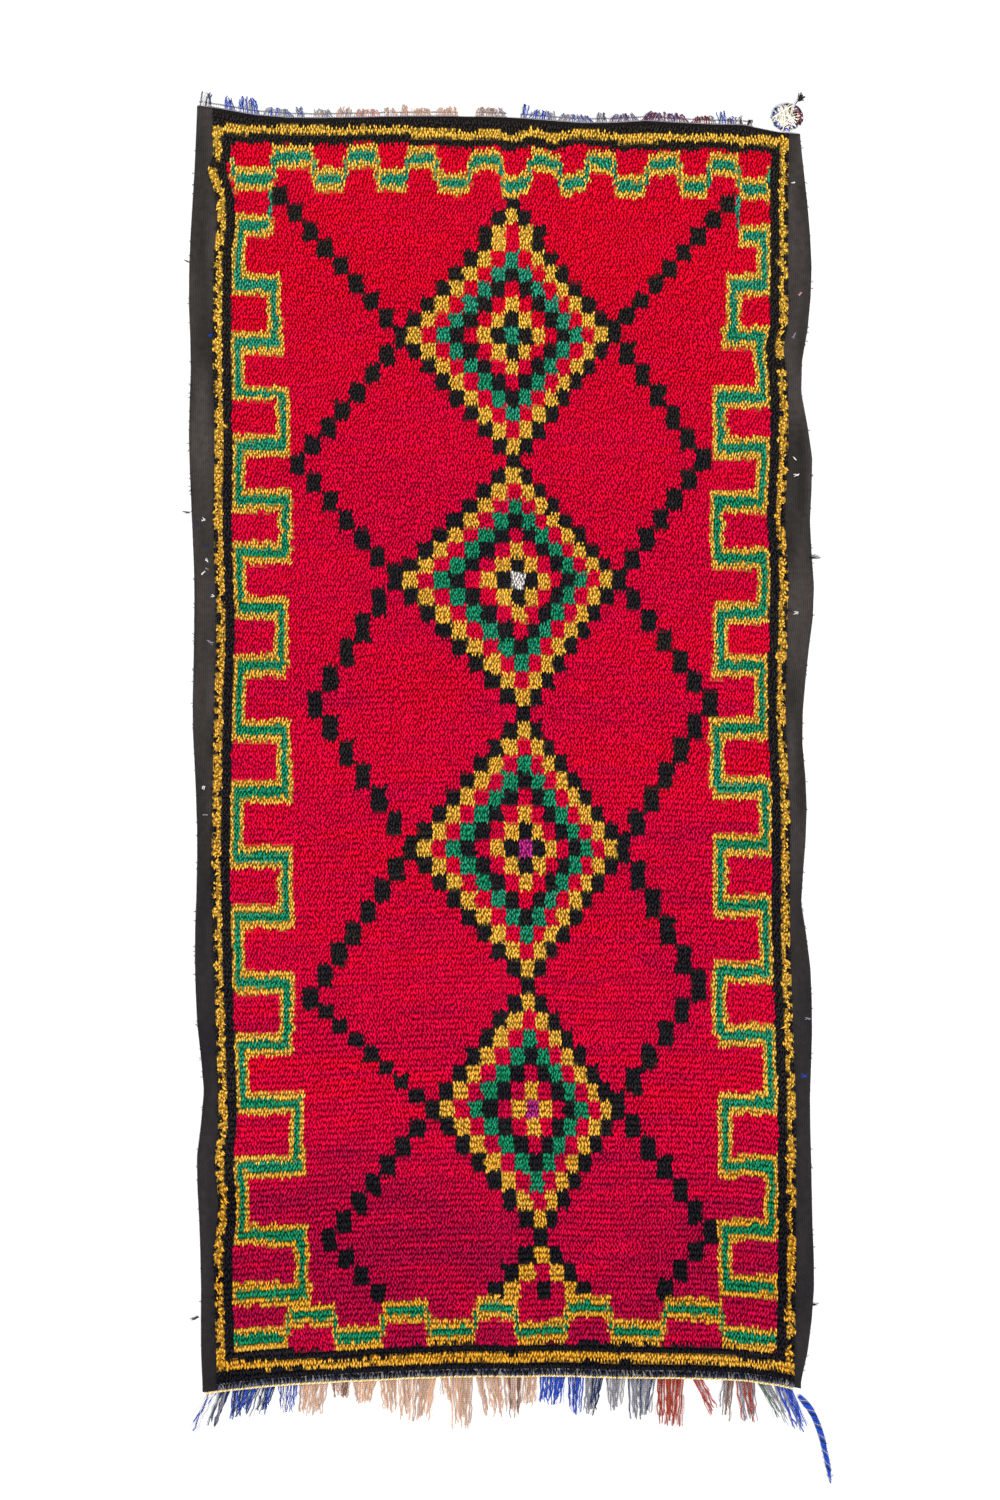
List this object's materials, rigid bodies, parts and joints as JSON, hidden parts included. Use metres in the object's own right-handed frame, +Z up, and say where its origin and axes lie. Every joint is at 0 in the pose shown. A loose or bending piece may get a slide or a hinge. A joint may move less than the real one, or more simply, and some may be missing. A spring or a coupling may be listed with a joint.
{
  "type": "boucherouite rug",
  "caption": "Long knotted pile rug lying flat, with flat side selvages, a twined end cord, an uneven warp fringe, worn far web, a knotted corner and a long corner tassel.",
  "frame": {"origin": "middle of the carpet on the plane of its underside", "axes": "+Z up out of the pile, +Y along the rug from the near fringed end to the far worn end, +X across to the right"},
  "size_m": [1.5445, 3.3395, 0.0231],
  "materials": {
    "wool_pile": "matt cut pile of wool and rag yarn",
    "twined_cord": "matt two-colour twined cotton cord",
    "warp_strands": "matt loose spun strands",
    "worn_web": "matt flat-woven web, worn",
    "corner_yarn": "matt knotted mixed yarn",
    "blue_yarn": "matt blue spun yarn"
  },
  "bodies": {
    "root": {"rug_body": "wool_pile", "end_cord": "twined_cord", "fringe_near": "warp_strands", "fringe_far_left": "worn_web", "fringe_far_middle": "worn_web", "fringe_far_right": "worn_web", "corner_knot": "corner_yarn", "corner_tassel": "blue_yarn"}
  },
  "joints": []
}
